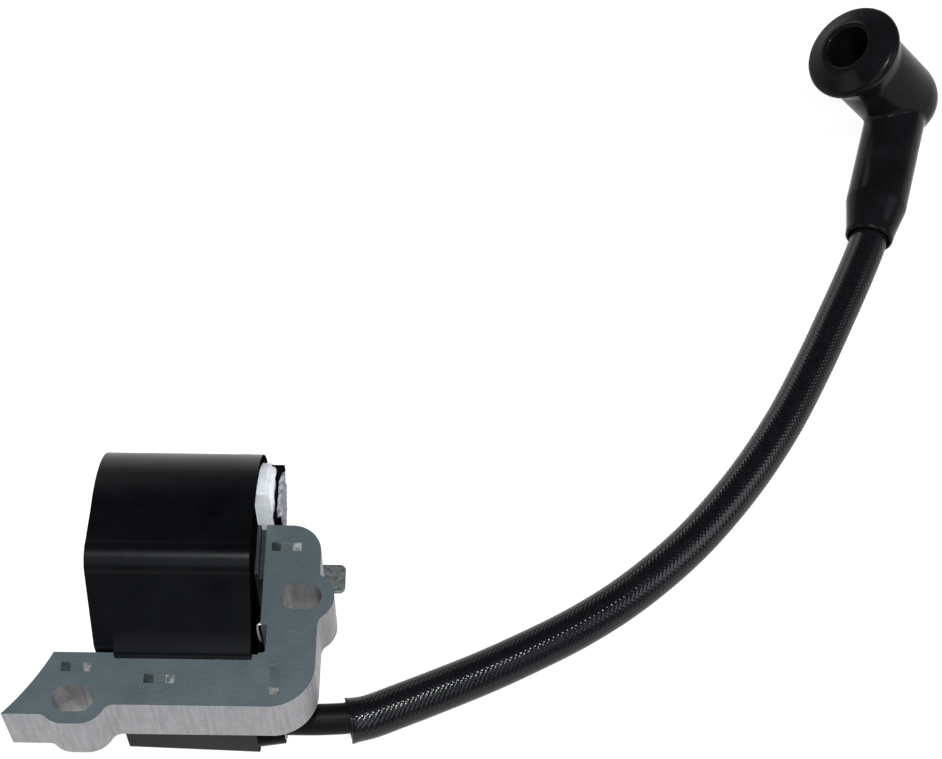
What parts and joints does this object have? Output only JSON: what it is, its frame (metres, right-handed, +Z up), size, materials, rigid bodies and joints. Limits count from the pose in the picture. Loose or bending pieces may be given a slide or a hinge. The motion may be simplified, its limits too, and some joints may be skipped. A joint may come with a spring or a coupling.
{
  "type": "small engine ignition coil",
  "caption": "Potted ignition coil on a laminated steel core with slotted ears, with a braided lead to a right-angle spark plug boot.",
  "frame": {"origin": "centre of the yoke's mounting slot, on the face of the core that seats on the engine", "axes": "+X along the pole arm, away from the flywheel; +Y along the yoke, from the arm to the coil's limb; +Z up through the stack of laminations, away from the engine's bosses"},
  "size_m": [0.1959, 0.1783, 0.0456],
  "materials": {
    "core_steel": "satin",
    "case_plastic": "satin",
    "potting": "matte",
    "bobbin_plastic": "matte",
    "winding_copper": "satin",
    "board_laminate": "satin",
    "component_body": "matte",
    "resistor_body": "satin",
    "capacitor_body": "gloss",
    "tinned_steel": "satin",
    "bare_wire": "polished",
    "brass": "satin",
    "seal_rubber": "matte",
    "lead_rubber": "satin",
    "lead_copper": "satin",
    "sleeve_braid": "satin",
    "boot_rubber": "gloss",
    "spring_wire": "satin"
  },
  "bodies": {
    "coil": {"core_laminations": "core_steel", "limb_laminations": "core_steel", "coil_case": "case_plastic", "potting_compound": "potting", "primary_bobbin": "bobbin_plastic", "primary_winding": "winding_copper", "secondary_bobbin": "bobbin_plastic", "secondary_winding": "winding_copper", "primary_lead_wires": "winding_copper", "secondary_lead_wire": "winding_copper", "circuit_board": "board_laminate", "power_transistor": "component_body", "trigger_transistor": "component_body", "board_resistors": "resistor_body", "board_diodes": "component_body", "timing_capacitor": "capacitor_body", "kill_terminal": "tinned_steel", "ground_wire": "bare_wire", "lead_spike": "brass", "lead_seal": "seal_rubber", "lead_jacket": "lead_rubber", "lead_conductor": "lead_copper", "braided_sleeve": "sleeve_braid"},
    "boot": {"plug_boot": "boot_rubber", "terminal_spring": "spring_wire"}
  },
  "joints": [
    {"name": "boot_swivel", "type": "hinge", "parent": "coil", "child": "boot", "pos_m": [0.1221, 0.1028, -0.0088], "axis": [0.2547, 0.964, 0.0767], "range_deg": [-50, 110]}
  ]
}
